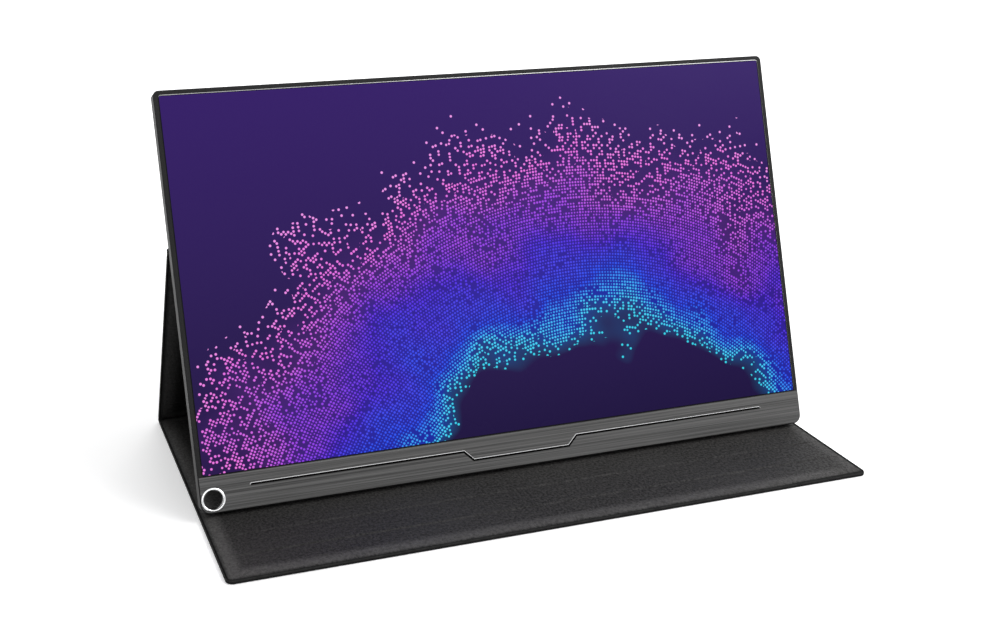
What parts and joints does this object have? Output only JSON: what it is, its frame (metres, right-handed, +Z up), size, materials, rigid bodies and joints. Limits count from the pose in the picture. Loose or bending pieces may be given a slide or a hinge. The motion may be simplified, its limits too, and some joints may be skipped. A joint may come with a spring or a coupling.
{
  "type": "portable monitor with cover",
  "caption": "Slim flat screen in a metal housing, standing on a folding cover; a knee crease and an upper crease form the stand, and magnets hold the screen.",
  "frame": {"origin": "centre of the bounding box at the table surface, under the cover", "axes": "+X along the creases (longest extent), +Y from the screen's front towards the knee at the rear, +Z up"},
  "size_m": [0.3533, 0.2128, 0.2103],
  "materials": {
    "cover_skin": "fine-grained black synthetic leather",
    "cover_lining": "soft dark grey microfibre lining",
    "stiffener": "pressed fibre board",
    "magnet": "nickel-plated magnet",
    "shell": "fine-blasted gunmetal grey",
    "frame": "satin near-black",
    "chin": "gunmetal, brushed along its length",
    "sleeve": "polished",
    "screen": "glossy dark glass, lit indigo picture behind it",
    "cell": "dark liquid crystal cell",
    "film": "white diffusing film",
    "guide": "clear acrylic light guide",
    "led": "strip of small light sources",
    "inner_frame": "black moulded frame",
    "tray": "thin pressed sheet",
    "steel": "plain strip",
    "board": "green circuit board",
    "port_metal": "stamped and plated",
    "black_plastic": "black moulded plastic",
    "control": "anodised dark grey",
    "flex": "amber polyimide film",
    "cable": "flat white cable",
    "screw": "blackened steel"
  },
  "bodies": {
    "front_cover": {"front_cover_skin": "cover_skin", "front_cover_board": "stiffener", "front_cover_lining": "cover_lining", "front_cover_magnets": "magnet", "knee_crease": "cover_skin"},
    "rear_panel": {"rear_panel_skin": "cover_skin", "spine_board": "stiffener", "lower_back_board": "stiffener", "rear_panel_lining": "cover_lining", "upper_crease": "cover_skin"},
    "upper_panel": {"upper_panel_skin": "cover_skin", "upper_back_board": "stiffener", "upper_panel_lining": "cover_lining", "upper_panel_magnets": "magnet"},
    "monitor": {"rear_shell": "shell", "front_frame": "frame", "chin_plate": "chin", "pen_hole_sleeve": "sleeve", "cover_glass": "screen", "lcd_cell": "cell", "film_stack": "film", "light_guide": "guide", "reflector_sheet": "film", "led_bar": "led", "panel_frame": "inner_frame", "panel_tray": "tray", "steel_strips": "steel", "mainboard": "board", "board_shield": "port_metal", "usb_c_port_upper": "port_metal", "usb_c_port_lower": "port_metal", "mini_hdmi_port": "port_metal", "audio_jack": "black_plastic", "key_board": "board", "power_switch": "black_plastic", "driver_board": "board", "panel_flexes": "flex", "display_cable": "cable", "speaker_left": "black_plastic", "speaker_right": "black_plastic", "case_screws": "screw", "board_screws": "screw"},
    "power_button": {"power_button": "control"},
    "dial_carriage": {"dial_carriage": "control"},
    "menu_dial": {"menu_dial": "control"}
  },
  "joints": [
    {"name": "knee_fold", "type": "hinge", "parent": "front_cover", "child": "rear_panel", "pos_m": [0, 0.10555, 0.0015], "axis": [1, 0, 0], "range_deg": [-125.1, 0]},
    {"name": "upper_fold", "type": "hinge", "parent": "rear_panel", "child": "upper_panel", "pos_m": [0, 0.01586, 0.12914], "axis": [1, 0, 0], "range_deg": [0, 54.2]},
    {"name": "monitor_lift", "type": "slide", "parent": "upper_panel", "child": "monitor", "axis": [0, 0.3272, 0.9449], "range_m": [0, 0.22]},
    {"name": "power_button_press", "type": "slide", "parent": "monitor", "child": "power_button", "axis": [-1, 0, 0], "range_m": [0, 0.0004], "stiffness_N_per_m": 500},
    {"name": "dial_press", "type": "slide", "parent": "monitor", "child": "dial_carriage", "axis": [-1, 0, 0], "range_m": [0, 0.00035], "stiffness_N_per_m": 500},
    {"name": "dial_turn", "type": "hinge", "parent": "dial_carriage", "child": "menu_dial", "pos_m": [0.1726, -0.02307, 0.03255], "axis": [0, 0.9449, -0.3272], "range_deg": [-12, 12], "stiffness_Nm_per_rad": 0.004}
  ],
  "couplings": [
    {"joint": "upper_fold", "follows": "knee_fold", "ratio": -0.43324}
  ]
}
